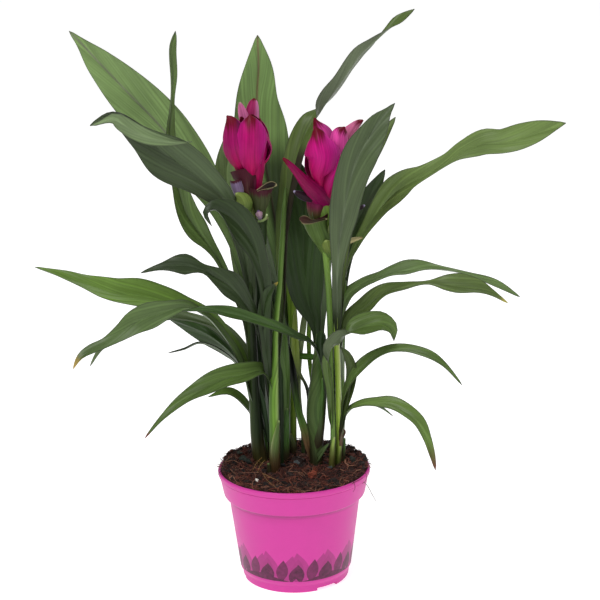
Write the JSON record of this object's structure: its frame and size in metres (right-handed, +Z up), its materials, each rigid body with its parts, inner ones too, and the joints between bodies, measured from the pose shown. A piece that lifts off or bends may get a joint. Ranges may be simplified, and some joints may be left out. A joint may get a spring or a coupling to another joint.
{
  "type": "potted flowering plant",
  "caption": "Flowering Siam tulip in a round tapered plastic pot: broad arching leaves and pink-bracted flower heads standing in potting soil.",
  "frame": {"origin": "centre of the pot's flat base disc, where the plant stands", "axes": "+Z up along the pot's axis, +X to the right as the picture shows it, -Y to the viewer"},
  "size_m": [0.3899, 0.1765, 0.4408],
  "materials": {
    "pot_plastic": "semi-matte moulded pink plastic with a mauve printed border",
    "soil": "dark coir and bark potting mix, rough; stands in for soil",
    "leaf": "satin green leaf with fine parallel veins; stands in for plant tissue",
    "green_bract": "satin yellow-green stalk and bracts with maroon edges; stands in for plant tissue",
    "pink_bract": "satin magenta bracts with dark crimson tips; stands in for plant tissue"
  },
  "bodies": {
    "root": {"pot": "pot_plastic", "soil": "soil", "shoot_left": "leaf", "shoot_left_back": "leaf", "shoot_front": "leaf", "shoot_centre_back": "leaf", "shoot_middle": "leaf", "shoot_right": "leaf", "shoot_right_back": "leaf", "flower_stalk_left": "green_bract", "flower_bracts_left": "pink_bract", "flower_stalk_right": "green_bract", "flower_bracts_right": "pink_bract"}
  },
  "joints": []
}
